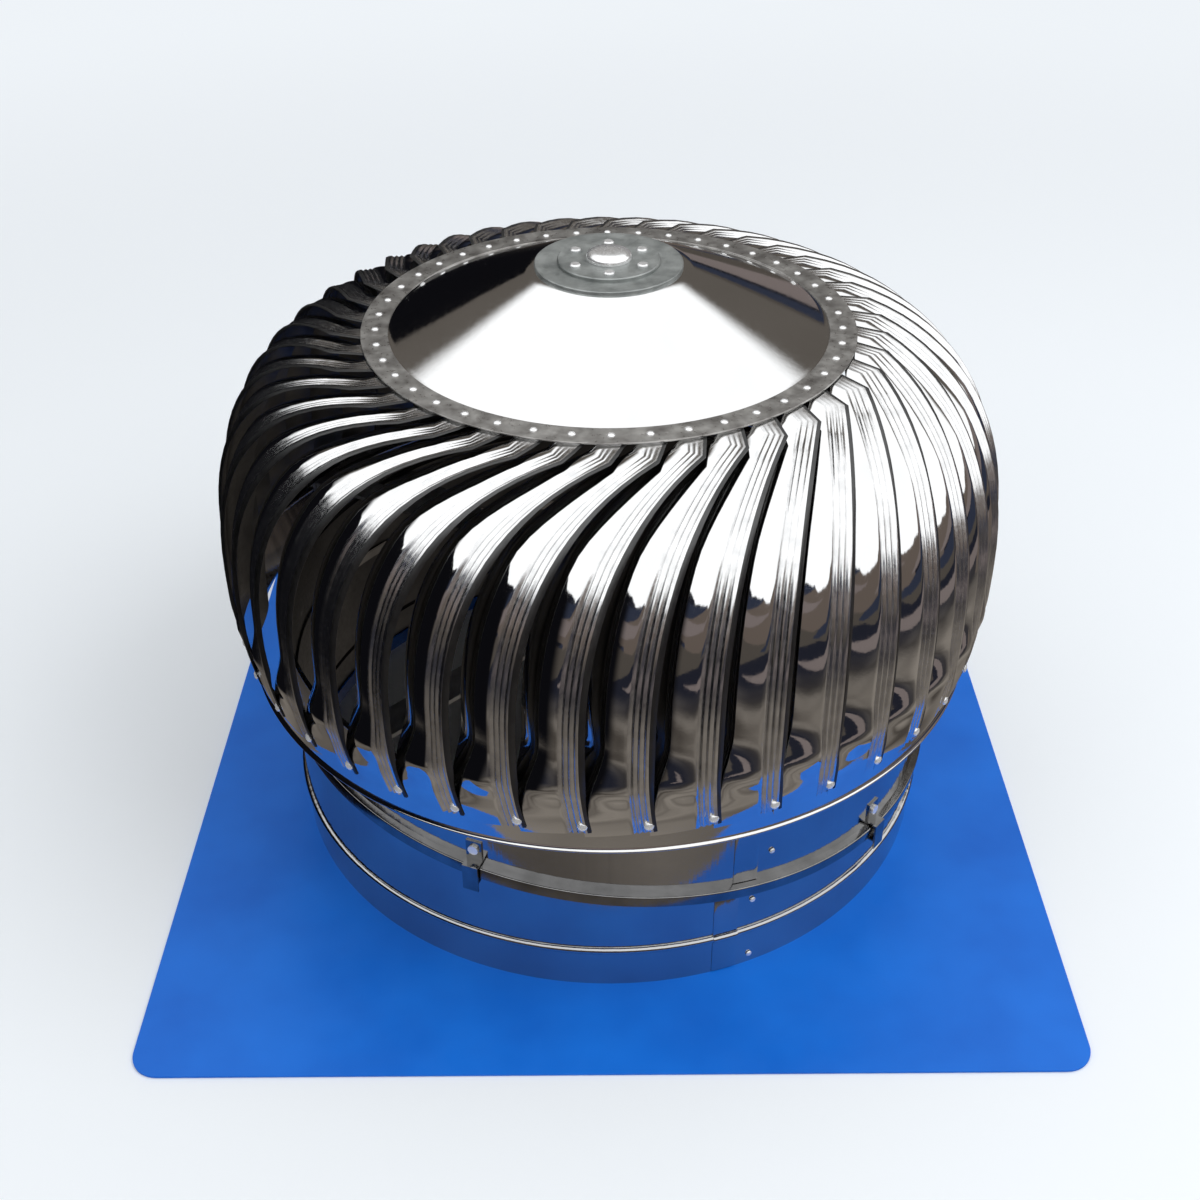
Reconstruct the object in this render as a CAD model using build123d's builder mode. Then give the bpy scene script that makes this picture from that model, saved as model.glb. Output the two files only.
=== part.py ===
from build123d import *
import os
from math import acos, asin, cos, degrees, hypot, pi, radians, sin, sqrt, tan

# Roof turbine ventilator. Millimetres, +Z up, origin on the roof side of the base plate,
# on the axis of the throat. The front of the object faces -Y.

# Base plate
plate_side = 785.0
plate_sheet = 2.0
plate_corner = 24.0
collar_rise = 12.0

# Throat: a lower and an upper neck that meet at an oblique swivel joint
neck_radius = 300.0
neck_sheet = 1.0
joint_height = 113.0
joint_tilt = 6.4
neck_top = 214.0
bead_height = 43.0
bead_width = 9.0
bead_depth = 4.5
rim_height = 9.0
rim_depth = 6.0
rim_sheet = 1.2
hem_height = 4.0
hem_depth = 2.5
swivel_gap = 0.4
seam_azimuth = 22.5
seam_width = 16.0
seam_sheet = 1.0
upper_seam_turn = 3.0

# Clips that hook the upper neck to the lower one
clip_count = 5
clip_azimuth = -22.0
clip_width = 14.0
clip_sheet = 1.5
clip_rise = 24.0
clip_tail = 22.0
clip_offset = 2.2
tongue_drop = 12.6
tongue_reach = 1.8
tongue_gap = 1.0

# Fixed shaft and its cross bracket in the upper neck
arm_count = 4
arm_width = 30.0
arm_sheet = 4.0
bracket_depth = 18.0
foot_drop = 26.0
bracket_hub_radius = 30.0
shaft_radius = 10.0
journal_radius = 7.5
nut_flats = 22.0
nut_height = 8.0
thin_nut_height = 6.0
spacer_height = 8.0
shaft_overrun = 2.0
bolt_radius = 3.0
bolt_head_flats = 10.0
bolt_head_height = 4.0
fit_gap = 0.05
seat_gap = 0.3

# Ball bearings, the same size above and below
bearing_radius = 17.5
bearing_width = 11.0
race_inner = 10.5
race_outer = 14.5
race_gap = 0.3
upper_bearing_drop = 20.0

# Rotor cage
blade_count = 42
blade_sheet = 0.8
blade_width = 56.0
blade_tip_width = 30.0
blade_arch = 8.0
blade_edge_strip = 15.0
blade_droop_angle = 8.0
blade_end_arch = 1.0
blade_stations = 8
blade_foot = 213.5
crown_bend = 430.0
crown_overhang = 25.9
rivet_turn = -35.9
blades_per_node = 3
edge_plane_offset = 190.0
cage_belly = 17.0
equator_height = 295.0
crown_fullness = 2.35
band_margin = 30.0
band_bottom = 186.0
band_top = 231.0
band_sheet = 1.2
band_clearance = 0.9
band_roll = 3.0
ring_width = 23.0
ring_outer = 209.0
ring_top = 482.0
ring_sheet = 1.2
tab_width = 22.0
tab_reach = -2.0
tab_length = 17.0
tab_crown = 0.15

# Dome, hub and dust cap
dome_sheet = 1.2
hub_radius = 62.0
hub_sheet = 3.0
dome_rise = 54.0
dome_land = 4.0
dome_setback = 2.0
housing_flange = 43.0
housing_wall = 4.0
housing_flange_sheet = 3.0
housing_sheet_step = 0.6
hub_rivet_count = 6
hub_rivet_circle = 32.0
rivet_radius = 2.4
rivet_head_radius = 4.5
rivet_head_height = 2.0
cap_radius = 19.0
cap_height = 7.0
cap_wall = 1.5

# Lower spider of the rotor
spider_arms = 3
spider_width = 30.0
spider_sheet = 4.0
spider_foot = 24.0
spider_hub_radius = 34.0

blade_pitch = 360.0 / blade_count
bracket_height = neck_top - bracket_depth
lower_bearing_height = bracket_height + arm_sheet + nut_height + spacer_height
band_radius = neck_radius + band_margin
equator_radius = band_radius + cage_belly
crown_height = ring_top - blade_sheet
hub_height = ring_top + dome_rise
upper_bearing_height = hub_height - upper_bearing_drop
ring_inner = ring_outer - ring_width
ring_bottom = ring_top - ring_sheet
tab_top = ring_bottom - dome_sheet
neck_inner = neck_radius - neck_sheet
joint_axis = (sin(radians(joint_tilt)), 0, cos(radians(joint_tilt)))
joint_plane = Plane(origin=(0, 0, joint_height), x_dir=(0, 1, 0), z_dir=joint_axis)
rim_outer = neck_radius + rim_depth
rim_bore = neck_inner - seat_gap
skirt_inner = rim_outer + swivel_gap
skirt_outer = skirt_inner + rim_sheet

os.makedirs("parts", exist_ok=True)


def save(part, name):
    """Labels one piece and writes its STEP file."""
    part.label = name
    export_step(part, f"parts/{name}.step")


def azimuth(angle):
    """Angle about +Z, from +X, of an azimuth counted from the front towards +X."""
    return angle - 90.0


def on_wall(angle, radius, height):
    """Plane tangent to a cylinder about Z: x level, y up, z outwards."""
    turn = radians(azimuth(angle))
    outward = Vector(cos(turn), sin(turn), 0)
    return Plane(
        origin=outward * radius + Vector(0, 0, height),
        x_dir=(-sin(turn), cos(turn), 0),
        z_dir=outward,
    )


def meridian(angle):
    """Upright plane through the axis: x outwards, y up."""
    turn = radians(azimuth(angle))
    return Plane(
        origin=(0, 0, 0),
        x_dir=(cos(turn), sin(turn), 0),
        z_dir=(sin(turn), -cos(turn), 0),
    )


def joint_rise(angle, radius):
    """Height of the swivel plane over the base at an azimuth and radius."""
    return joint_height - tan(radians(joint_tilt)) * radius * sin(radians(angle))


def level_radius(circle, angle, drop=0.0):
    """Level distance from the axis of a circle about the swivel axis, a drop below the joint."""
    slope = tan(radians(joint_tilt)) * sin(radians(angle))
    return circle / sqrt(1 + slope * slope) - slope * drop


def smooth(share):
    """Eased step from 0 to 1."""
    share = max(0.0, min(1.0, share))
    return share * share * (3 - 2 * share)


# Base plate, with a collar turned up inside the throat
with BuildPart() as base_plate:
    with BuildSketch():
        Rectangle(plate_side, plate_side)
        Circle(neck_inner - seat_gap - plate_sheet, mode=Mode.SUBTRACT)
    extrude(amount=plate_sheet)
    plate_corners = base_plate.edges().filter_by(Axis.Z).filter_by(GeomType.LINE)
    fillet(plate_corners, plate_corner)
    with BuildSketch():
        Circle(neck_inner - seat_gap)
        Circle(neck_inner - seat_gap - plate_sheet, mode=Mode.SUBTRACT)
    extrude(amount=plate_sheet + collar_rise)
save(base_plate.part, "base_plate")

# Lower neck. The tube is cut by the swivel plane, and its wired rim is round about the
# swivel axis, so that the upper neck can turn on it.
joint_profile = Plane(joint_plane.origin, x_dir=joint_plane.x_dir, z_dir=joint_plane.y_dir)
swivel_axis = Axis(joint_plane.origin, joint_axis)



def seam_strip(angle):
    """Keeps the narrow strip of a ring sketch where the rolled sheet overlaps itself."""
    turn = radians(azimuth(angle))
    with Locations((neck_radius * cos(turn), neck_radius * sin(turn))):
        Rectangle(seam_width, seam_width, rotation=azimuth(angle), mode=Mode.INTERSECT)


with BuildPart() as lower_neck:
    with BuildSketch(Plane.XZ):
        with BuildLine():
            Polyline(
                (neck_inner, plate_sheet),
                (neck_radius, plate_sheet),
                (neck_radius, bead_height - bead_width / 2),
                (neck_radius + bead_depth, bead_height - bead_width / 6),
                (neck_radius + bead_depth, bead_height + bead_width / 6),
                (neck_radius, bead_height + bead_width / 2),
                (neck_radius, neck_top),
                (neck_inner, neck_top),
                close=True,
            )
        make_face()
    revolve(axis=Axis.Z)
    with BuildSketch(Plane.XY.offset(plate_sheet)):
        Circle(neck_radius + seam_sheet)
        Circle(neck_inner, mode=Mode.SUBTRACT)
        seam_strip(seam_azimuth)
    extrude(amount=neck_top - plate_sheet)
    split(bisect_by=joint_plane.offset(-rim_sheet / 2), keep=Keep.BOTTOM)
    with BuildSketch(joint_profile):
        with BuildLine():
            Polyline(
                (rim_bore, 0),
                (rim_outer - rim_sheet, 0),
                (rim_outer, rim_sheet),
                (rim_outer, rim_height - rim_sheet),
                (rim_outer - rim_sheet, rim_height),
                (rim_bore, rim_height),
                close=True,
            )
        make_face()
    revolve(axis=swivel_axis)
save(lower_neck.part, "lower_neck")

# Upper neck. Its skirt hangs over the wired rim, and its foot is cut by the swivel plane.
with BuildPart() as upper_neck:
    with BuildSketch(Plane.XZ):
        with BuildLine():
            Polyline(
                (neck_inner, 0),
                (neck_radius, 0),
                (neck_radius, neck_top - 2 * hem_height),
                (neck_radius + hem_depth, neck_top - hem_height),
                (neck_radius + hem_depth, neck_top),
                (neck_inner, neck_top),
                close=True,
            )
        make_face()
    revolve(axis=Axis.Z)
    with BuildSketch():
        Circle(neck_radius + seam_sheet)
        Circle(neck_inner, mode=Mode.SUBTRACT)
        seam_strip(seam_azimuth + upper_seam_turn)
    extrude(amount=neck_top - hem_height)
    split(bisect_by=joint_plane.offset(swivel_gap + rim_sheet / 2), keep=Keep.TOP)
    with BuildSketch(joint_profile):
        with BuildLine():
            Polyline(
                (rim_bore, -swivel_gap),
                (skirt_inner, -swivel_gap),
                (skirt_inner, rim_height),
                (skirt_outer, rim_height),
                (skirt_outer, -swivel_gap - rim_sheet),
                (rim_bore, -swivel_gap - rim_sheet),
                close=True,
            )
        make_face()
    revolve(axis=swivel_axis)
save(upper_neck.part, "upper_neck")

# Clips riveted to the upper neck. A tongue on each one hooks under the wired rim, and a
# tail hangs down the outside of the joint.
with BuildPart() as joint_clips:
    for number in range(clip_count):
        turn = clip_azimuth + number * 360 / clip_count
        rise = joint_rise(turn, neck_radius)
        wall = neck_radius + fit_gap
        stand = level_radius(skirt_outer, turn) + clip_offset
        hook = level_radius(rim_outer - tongue_reach, turn, tongue_drop)
        shelf = rise + swivel_gap + rim_sheet + tongue_gap
        with BuildSketch(meridian(turn)):
            with BuildLine():
                Polyline(
                    (wall, rise + clip_rise),
                    (wall, shelf),
                    (stand, shelf),
                    (stand, rise - tongue_drop),
                    (hook, rise - tongue_drop),
                    (hook, rise - tongue_drop - clip_sheet),
                    (stand, rise - tongue_drop - clip_sheet),
                    (stand, rise - clip_tail),
                    (stand + clip_sheet, rise - clip_tail),
                    (stand + clip_sheet, shelf + clip_sheet),
                    (wall + clip_sheet, shelf + clip_sheet),
                    (wall + clip_sheet, rise + clip_rise),
                    close=True,
                )
            make_face()
        extrude(amount=clip_width / 2, both=True)
save(joint_clips.part, "joint_clips")

with BuildPart() as clip_rivets:
    for number in range(clip_count):
        turn = clip_azimuth + number * 360 / clip_count
        height = joint_rise(turn, neck_radius) + clip_rise * 0.66
        with BuildSketch(on_wall(turn, neck_inner - fit_gap, height)):
            Circle(rivet_radius)
        extrude(amount=neck_sheet + clip_sheet + 2 * fit_gap)
        with BuildSketch(on_wall(turn, neck_radius + fit_gap + clip_sheet, height)):
            Circle(rivet_head_radius)
        extrude(amount=rivet_head_height)
save(clip_rivets.part, "clip_rivets")

# Cross bracket that carries the fixed shaft in the upper neck
foot_face = sqrt((neck_inner - seat_gap) ** 2 - (arm_width / 2) ** 2)
bracket_top = bracket_height + arm_sheet
with BuildPart() as bracket_arm:
    with BuildSketch(Plane.XZ):
        with BuildLine():
            Polyline(
                (bracket_hub_radius - arm_sheet, bracket_height),
                (foot_face - arm_sheet, bracket_height),
                (foot_face - arm_sheet, bracket_top - foot_drop),
                (foot_face, bracket_top - foot_drop),
                (foot_face, bracket_top),
                (bracket_hub_radius - arm_sheet, bracket_top),
                close=True,
            )
        make_face()
    extrude(amount=arm_width / 2, both=True)

with BuildPart() as shaft_bracket:
    with BuildSketch(Plane.XY.offset(bracket_height)):
        Circle(bracket_hub_radius)
    extrude(amount=arm_sheet)
    with PolarLocations(0, arm_count, start_angle=180 / arm_count):
        add(bracket_arm.part)
    with Locations((0, 0, bracket_height)):
        Cylinder(journal_radius + fit_gap, 3 * arm_sheet, mode=Mode.SUBTRACT)
save(shaft_bracket.part, "shaft_bracket")

# Bolts and nuts that hold the bracket's feet to the neck wall
bolt_height = bracket_top - foot_drop * 0.6
bolt_grip = neck_radius - foot_face + arm_sheet
with BuildPart() as bracket_bolts:
    for number in range(arm_count):
        turn = 90 + (number + 0.5) * 360 / arm_count
        with BuildSketch(on_wall(turn, foot_face - arm_sheet - bolt_head_height - shaft_overrun, bolt_height)):
            Circle(bolt_radius)
        extrude(amount=bolt_grip + bolt_head_height + shaft_overrun)
        with BuildSketch(on_wall(turn, neck_radius + fit_gap, bolt_height)):
            RegularPolygon(bolt_head_flats / 2, 6, major_radius=False)
        extrude(amount=bolt_head_height)
save(bracket_bolts.part, "bracket_bolts")

with BuildPart() as bracket_nuts:
    for number in range(arm_count):
        turn = 90 + (number + 0.5) * 360 / arm_count
        with BuildSketch(on_wall(turn, foot_face - arm_sheet - bolt_head_height, bolt_height)):
            RegularPolygon(bolt_head_flats / 2, 6, major_radius=False)
            Circle(bolt_radius + fit_gap, mode=Mode.SUBTRACT)
        extrude(amount=bolt_head_height)
save(bracket_nuts.part, "bracket_nuts")


def turned_ring(inner, outer, low, high, name):
    """Plain ring about the rotor axis."""
    with BuildPart() as ring:
        with BuildSketch(Plane.XY.offset(low)):
            Circle(outer)
            Circle(inner, mode=Mode.SUBTRACT)
        extrude(amount=high - low)
    save(ring.part, name)


def hex_nut(low, high, name):
    """Hexagon nut on the shaft."""
    with BuildPart() as nut:
        with BuildSketch(Plane.XY.offset(low)):
            RegularPolygon(nut_flats / 2, 6, major_radius=False)
            Circle(journal_radius + fit_gap, mode=Mode.SUBTRACT)
        extrude(amount=high - low)
    save(nut.part, name)


# Fixed shaft: a thick middle between two bearing journals, with a nut at each end
shaft_low = bracket_height - nut_height - shaft_overrun
shoulder_low = lower_bearing_height + bearing_width
upper_nut_low = upper_bearing_height + bearing_width
shaft_high = upper_nut_low + thin_nut_height + shaft_overrun
with BuildPart() as shaft:
    with BuildSketch(Plane.XY.offset(shaft_low)):
        Circle(journal_radius)
    extrude(amount=shaft_high - shaft_low)
    with BuildSketch(Plane.XY.offset(shoulder_low)):
        Circle(shaft_radius)
    extrude(amount=upper_bearing_height - shoulder_low)
save(shaft.part, "shaft")

hex_nut(bracket_height - nut_height, bracket_height, "shaft_lower_nut")
hex_nut(bracket_top, bracket_top + nut_height, "shaft_clamp_nut")
hex_nut(upper_nut_low, upper_nut_low + thin_nut_height, "shaft_top_nut")
race_bore = journal_radius + fit_gap
turned_ring(race_bore, race_inner, bracket_top + nut_height, lower_bearing_height, "shaft_spacer")

# Bearings: the inner rings stay on the shaft, the outer rings turn with the rotor
for level, low in (("lower", lower_bearing_height), ("upper", upper_bearing_height)):
    high = low + bearing_width
    turned_ring(race_bore, race_inner, low, high, f"{level}_bearing_inner_ring")
    turned_ring(race_outer, bearing_radius, low, high, f"{level}_bearing_outer_ring")
    cage_low = low + bearing_width / 4
    turned_ring(race_inner + race_gap, race_outer - race_gap, cage_low, high - bearing_width / 4,
                f"{level}_bearing_cage")


def outline(share):
    """Rotor outline: radius and height, from the band's foot (-1) over the equator (0) to the crown (1)."""
    if share < 0:
        radius = equator_radius - (equator_radius - band_radius) * share ** 2
        return radius, equator_height + (equator_height - band_bottom) * share
    angle = share * pi / 2
    radius = ring_outer + (equator_radius - ring_outer) * cos(angle) ** (2 / crown_fullness)
    height = equator_height + (crown_height - equator_height) * sin(angle) ** (2 / crown_fullness)
    return radius, height


def blade_edge(share):
    """A blade's outer edge lies in an upright plane: distance along that plane, and height."""
    radius, height = outline(share)
    return sqrt(radius ** 2 - edge_plane_offset ** 2), height


def closed_lean(radius):
    """Lean at which a blade's chord lies just inside its neighbour's outer edge."""
    pitch_chord = 2 * radius * sin(pi / blade_count)
    return pitch_chord / (2 * radius) + 3 * blade_sheet / pitch_chord


def blade_section(share):
    """One cut across a blade, square to its outer edge: a flat edge strip, then a pressed arch."""
    along, height = blade_edge(share)
    past, past_height = blade_edge(share + 0.004)
    radius = outline(share)[0]
    run = hypot(past - along, past_height - height)
    step, rise = (past - along) / run, (past_height - height) / run
    full_lean = asin(edge_plane_offset / radius)
    opening = smooth((height - band_top) / (equator_height - band_top))
    lean = closed_lean(radius) + (full_lean - closed_lean(radius)) * opening
    closing = smooth((height - crown_bend) / (crown_height - crown_bend))
    turn = degrees(full_lean - lean) - blade_droop_angle * closing
    narrowing = max(0.0, (height - equator_height) / (crown_height - equator_height))
    width = blade_width - (blade_width - blade_tip_width) * narrowing ** 4
    arch = blade_end_arch + (blade_arch - blade_end_arch) * smooth(2 * opening) * (1 - closing)
    plane = Plane(
        origin=(edge_plane_offset, -along, height),
        x_dir=(-1, 0, 0),
        z_dir=(0, -step, rise),
    ).rotated((0, 0, turn))
    return plane, width, blade_edge_strip, arch


def tab_section(inward):
    """A cut across the flat end of a blade, which goes under the top ring."""
    turn = radians(rivet_turn)
    outward = Vector(cos(turn), sin(turn), 0)
    across = Vector(sin(turn), -cos(turn), 0)
    corner = outward * (ring_outer + tab_reach) - across * (tab_width / 2)
    level = Vector(0, 0, tab_top - tab_crown - fit_gap)
    plane = Plane(origin=corner + level, x_dir=across, z_dir=-outward).offset(inward)
    return plane, tab_width, tab_width / 3, tab_crown


# One blade in its own frame: its outer edge lies in the upright plane x = edge_plane_offset
foot_share = (blade_foot - equator_height) / (equator_height - band_bottom)
crown_reach = crown_overhang / (equator_radius - ring_outer)
top_share = acos(crown_reach ** (crown_fullness / 2)) * 2 / pi
sections = []
for number in range(blade_stations):
    share = foot_share + (top_share - foot_share) * number / (blade_stations - 1)
    sections.append(blade_section(share))
sections.append(tab_section(0))
sections.append(tab_section(tab_length))
with BuildPart() as blade:
    for plane, width, strip, arch in sections:
        shoulder = arch / 2
        pleat = (width - strip) / 3
        with BuildSketch(plane):
            with BuildLine():
                Polyline(
                    (0, 0),
                    (strip, shoulder),
                    (strip + pleat, arch),
                    (width - pleat, arch - shoulder / 3),
                    (width, 0),
                    (width, -blade_sheet),
                    (width - pleat, arch - shoulder / 3 - blade_sheet),
                    (strip + pleat, arch - blade_sheet),
                    (strip, shoulder - blade_sheet),
                    (0, -blade_sheet),
                    close=True,
                )
            make_face()
    loft(ruled=True)

for group in range(blade_count // blades_per_node):
    with BuildPart() as blades:
        for number in range(blades_per_node):
            turn = azimuth(0) - rivet_turn + (group * blades_per_node + number) * blade_pitch
            with Locations(Location((0, 0, 0), (0, 0, turn))):
                add(blade.part)
    save(blades.part, f"blades_{group + 1:02d}")

# Band round the foot of the blades, with a rolled lower edge
top_radius, _ = outline((band_top - equator_height) / (equator_height - band_bottom))
band_top_radius = top_radius * cos(closed_lean(top_radius)) - blade_sheet - band_clearance
with BuildPart() as bottom_band:
    with BuildSketch(Plane.XZ):
        with BuildLine():
            Polyline(
                (band_radius - band_sheet, band_bottom),
                (band_radius + band_roll - band_sheet, band_bottom),
                (band_radius + band_roll, band_bottom + band_roll / 2),
                (band_radius, band_bottom + 2 * band_roll),
                (band_top_radius, band_top),
                (band_top_radius - band_sheet, band_top),
                (band_radius - band_sheet, band_bottom + 2 * band_roll),
                close=True,
            )
        make_face()
    revolve(axis=Axis.Z)
save(bottom_band.part, "bottom_band")

turned_ring(ring_inner, ring_outer, ring_bottom, ring_top, "top_ring")

# Dome: a flat rim under the top ring, a shallow cone and a flat land under the hub
land_radius = hub_radius + dome_land
land_top = hub_height - hub_sheet
rim_radius = ring_inner - fit_gap
cup_radius = bearing_radius + housing_wall
with BuildPart() as dome:
    with BuildSketch(Plane.XZ):
        with BuildLine():
            Polyline(
                (ring_outer - dome_setback, ring_bottom),
                (rim_radius, ring_bottom),
                (land_radius, land_top),
                (cup_radius + seat_gap, land_top),
                (cup_radius + seat_gap, land_top - dome_sheet),
                (land_radius, land_top - dome_sheet),
                (rim_radius, tab_top),
                (ring_outer - dome_setback, tab_top),
                close=True,
            )
        make_face()
    revolve(axis=Axis.Z)
save(dome.part, "dome")

turned_ring(cup_radius + seat_gap, hub_radius, land_top, hub_height, "hub_plate")

# Upper bearing housing: a flange on the hub plate and a cup over the bearing
housing_top = hub_height + housing_flange_sheet
nut_well = nut_flats / 2 / cos(pi / 6) + 2 * housing_sheet_step
with BuildPart() as upper_housing:
    with BuildSketch(Plane.XZ):
        with BuildLine():
            Polyline(
                (bearing_radius + fit_gap, upper_bearing_height),
                (cup_radius, upper_bearing_height),
                (cup_radius, hub_height),
                (housing_flange, hub_height),
                (housing_flange, housing_top),
                (nut_well, housing_top),
                (nut_well, upper_nut_low),
                (bearing_radius + fit_gap, upper_nut_low),
                close=True,
            )
        make_face()
    revolve(axis=Axis.Z)
save(upper_housing.part, "upper_bearing_housing")

with BuildPart() as hub_rivets:
    with BuildSketch(Plane.XY.offset(land_top - dome_sheet)):
        with PolarLocations(hub_rivet_circle, hub_rivet_count, start_angle=90):
            Circle(rivet_radius)
    extrude(amount=housing_top - land_top + dome_sheet)
    with BuildSketch(Plane.XY.offset(housing_top)):
        with PolarLocations(hub_rivet_circle, hub_rivet_count, start_angle=90):
            Circle(rivet_head_radius)
    extrude(amount=rivet_head_height)
    head_rims = hub_rivets.edges().group_by(Axis.Z)[-1]
    chamfer(head_rims, rivet_head_height / 2)
save(hub_rivets.part, "hub_rivets")

with BuildPart() as dust_cap:
    with BuildSketch(Plane.XY.offset(housing_top)):
        Circle(cap_radius)
    extrude(amount=cap_height)
    chamfer(dust_cap.edges().group_by(Axis.Z)[-1], cap_height / 2)
    with BuildSketch(Plane.XY.offset(housing_top)):
        Circle(cap_radius - cap_wall)
    extrude(amount=cap_height / 2 - cap_wall / 2, mode=Mode.SUBTRACT)
save(dust_cap.part, "dust_cap")

# Lower spider: three arms from the band to the lower bearing housing
spider_low = lower_bearing_height + bearing_width + fit_gap
spider_top = spider_low + spider_sheet


def band_bore(height):
    """Inner radius of the band where a flat foot of the spider's width just clears it."""
    share = (height - band_bottom - 2 * band_roll) / (band_top - band_bottom - 2 * band_roll)
    radius = band_radius + (band_top_radius - band_radius) * share - band_sheet - seat_gap
    return sqrt(radius ** 2 - (spider_width / 2) ** 2)


with BuildPart() as spider_arm:
    with BuildSketch(Plane.XZ):
        with BuildLine():
            Polyline(
                (spider_hub_radius - spider_sheet, spider_low),
                (band_bore(spider_low) - spider_sheet, spider_low),
                (band_bore(spider_top - spider_foot) - spider_sheet, spider_top - spider_foot),
                (band_bore(spider_top - spider_foot), spider_top - spider_foot),
                (band_bore(spider_top), spider_top),
                (spider_hub_radius - spider_sheet, spider_top),
                close=True,
            )
        make_face()
    extrude(amount=spider_width / 2, both=True)

with BuildPart() as lower_spider:
    with BuildSketch(Plane.XZ):
        with BuildLine():
            Polyline(
                (bearing_radius + fit_gap, lower_bearing_height),
                (cup_radius, lower_bearing_height),
                (cup_radius, spider_low),
                (spider_hub_radius, spider_low),
                (spider_hub_radius, spider_top),
                (race_outer, spider_top),
                (race_outer, spider_low - fit_gap),
                (bearing_radius + fit_gap, spider_low - fit_gap),
                close=True,
            )
        make_face()
    revolve(axis=Axis.Z)
    with PolarLocations(0, spider_arms, start_angle=azimuth(0)):
        add(spider_arm.part)
save(lower_spider.part, "lower_spider")
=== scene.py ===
from math import acos, asin, atan2, cos, hypot, pi, radians, sin, sqrt, tan

import bpy
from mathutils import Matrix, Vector


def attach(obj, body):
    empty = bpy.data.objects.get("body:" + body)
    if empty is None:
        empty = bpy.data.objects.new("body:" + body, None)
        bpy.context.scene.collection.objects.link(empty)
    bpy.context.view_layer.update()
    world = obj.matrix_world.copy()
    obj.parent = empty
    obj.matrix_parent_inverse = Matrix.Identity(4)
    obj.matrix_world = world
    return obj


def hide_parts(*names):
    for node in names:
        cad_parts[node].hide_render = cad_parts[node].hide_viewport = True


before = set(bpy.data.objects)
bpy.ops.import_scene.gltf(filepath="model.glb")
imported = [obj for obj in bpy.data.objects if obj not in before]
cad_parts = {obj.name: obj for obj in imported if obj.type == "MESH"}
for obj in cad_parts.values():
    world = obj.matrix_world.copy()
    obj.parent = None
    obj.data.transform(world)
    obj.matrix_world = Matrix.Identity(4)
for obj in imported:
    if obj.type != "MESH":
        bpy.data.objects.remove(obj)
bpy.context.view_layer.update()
mm = 0.001
near = 1e-4  # how close a vertex lies to the row or column it belongs to
weld = 1e-6  # vertices closer than this are merged


def dropSelection():
    if bpy.context.object and bpy.context.object.mode != 'OBJECT':
        bpy.ops.object.mode_set(mode='OBJECT')
    bpy.ops.object.select_all(action='DESELECT')


def makeActive(piece):
    dropSelection()
    piece.select_set(True)
    bpy.context.view_layer.objects.active = piece


def pick(piece, mode, test):
    # selects the verts, edges or faces whose middle passes the test, and stays in edit mode
    makeActive(piece)
    bpy.ops.object.mode_set(mode='EDIT')
    bpy.ops.mesh.select_mode(type=mode)
    bpy.ops.mesh.select_all(action='DESELECT')
    bpy.ops.object.mode_set(mode='OBJECT')
    mesh = piece.data
    if mode == 'VERT':
        for vert in mesh.vertices:
            vert.select = test(vert.co)
    elif mode == 'EDGE':
        for edge in mesh.edges:
            a, b = (mesh.vertices[i].co for i in edge.vertices)
            edge.select = test((a + b) / 2)
    else:
        for face in mesh.polygons:
            face.select = test(face.center)
    bpy.ops.object.mode_set(mode='EDIT')


def turn(angle, axis, centre):
    # the operator turns clockwise when there is no window
    bpy.ops.transform.rotate(value=-angle, orient_axis=axis, center_override=centre)


def applyPlace(piece):
    makeActive(piece)
    bpy.ops.object.transform_apply(location=True, rotation=True, scale=True)


def thicken(piece, thickness, innerSlots=0):
    makeActive(piece)
    wall = piece.modifiers.new("wall", 'SOLIDIFY')
    wall.thickness = thickness
    wall.offset = -1.0
    wall.use_even_offset = True
    wall.material_offset = innerSlots
    bpy.ops.object.modifier_apply(modifier=wall.name)


def roundEdges(piece, width, segments=2, angle=35):
    makeActive(piece)
    edge = piece.modifiers.new("rounding", 'BEVEL')
    edge.width = width
    edge.segments = segments
    edge.limit_method = 'ANGLE'
    edge.angle_limit = radians(angle)
    bpy.ops.object.modifier_apply(modifier=edge.name)


def smoothFaces(piece, angle=35):
    makeActive(piece)
    bpy.ops.object.shade_smooth_by_angle(angle=radians(angle))


def copyPiece(piece, name):
    makeActive(piece)
    bpy.ops.object.duplicate(linked=False)
    twin = bpy.context.object
    twin.name = name
    return twin


def joinPieces(pieces, name):
    makeActive(pieces[0])
    for piece in pieces:
        piece.select_set(True)
    bpy.ops.object.join()
    bpy.context.object.name = name
    return bpy.context.object


def place(piece, body, material, slotName, *nodes):
    if material:
        piece.data.materials.clear()
        piece.data.materials.append(material)
    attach(piece, body)
    if nodes:
        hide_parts(*nodes)


def newMaterial(name):
    material = bpy.data.materials.new(name)
    material.use_nodes = True
    nodes = material.node_tree.nodes
    links = material.node_tree.links
    nodes.clear()
    output = nodes.new('ShaderNodeOutputMaterial')
    shader = nodes.new('ShaderNodeBsdfPrincipled')
    links.new(shader.outputs['BSDF'], output.inputs['Surface'])
    where = nodes.new('ShaderNodeTexCoord')
    return material, nodes, links, shader, where.outputs['Object']


def noiseNode(nodes, links, vector, scale, detail=3.0, stretch=None):
    if stretch:
        mapping = nodes.new('ShaderNodeMapping')
        mapping.inputs['Scale'].default_value = stretch
        links.new(vector, mapping.inputs['Vector'])
        vector = mapping.outputs['Vector']
    noise = nodes.new('ShaderNodeTexNoise')
    noise.inputs['Scale'].default_value = scale
    noise.inputs['Detail'].default_value = detail
    links.new(vector, noise.inputs['Vector'])
    return noise.outputs['Fac']


noiseRange = (0.3, 0.7)  # where most of a noise value lies


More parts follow.
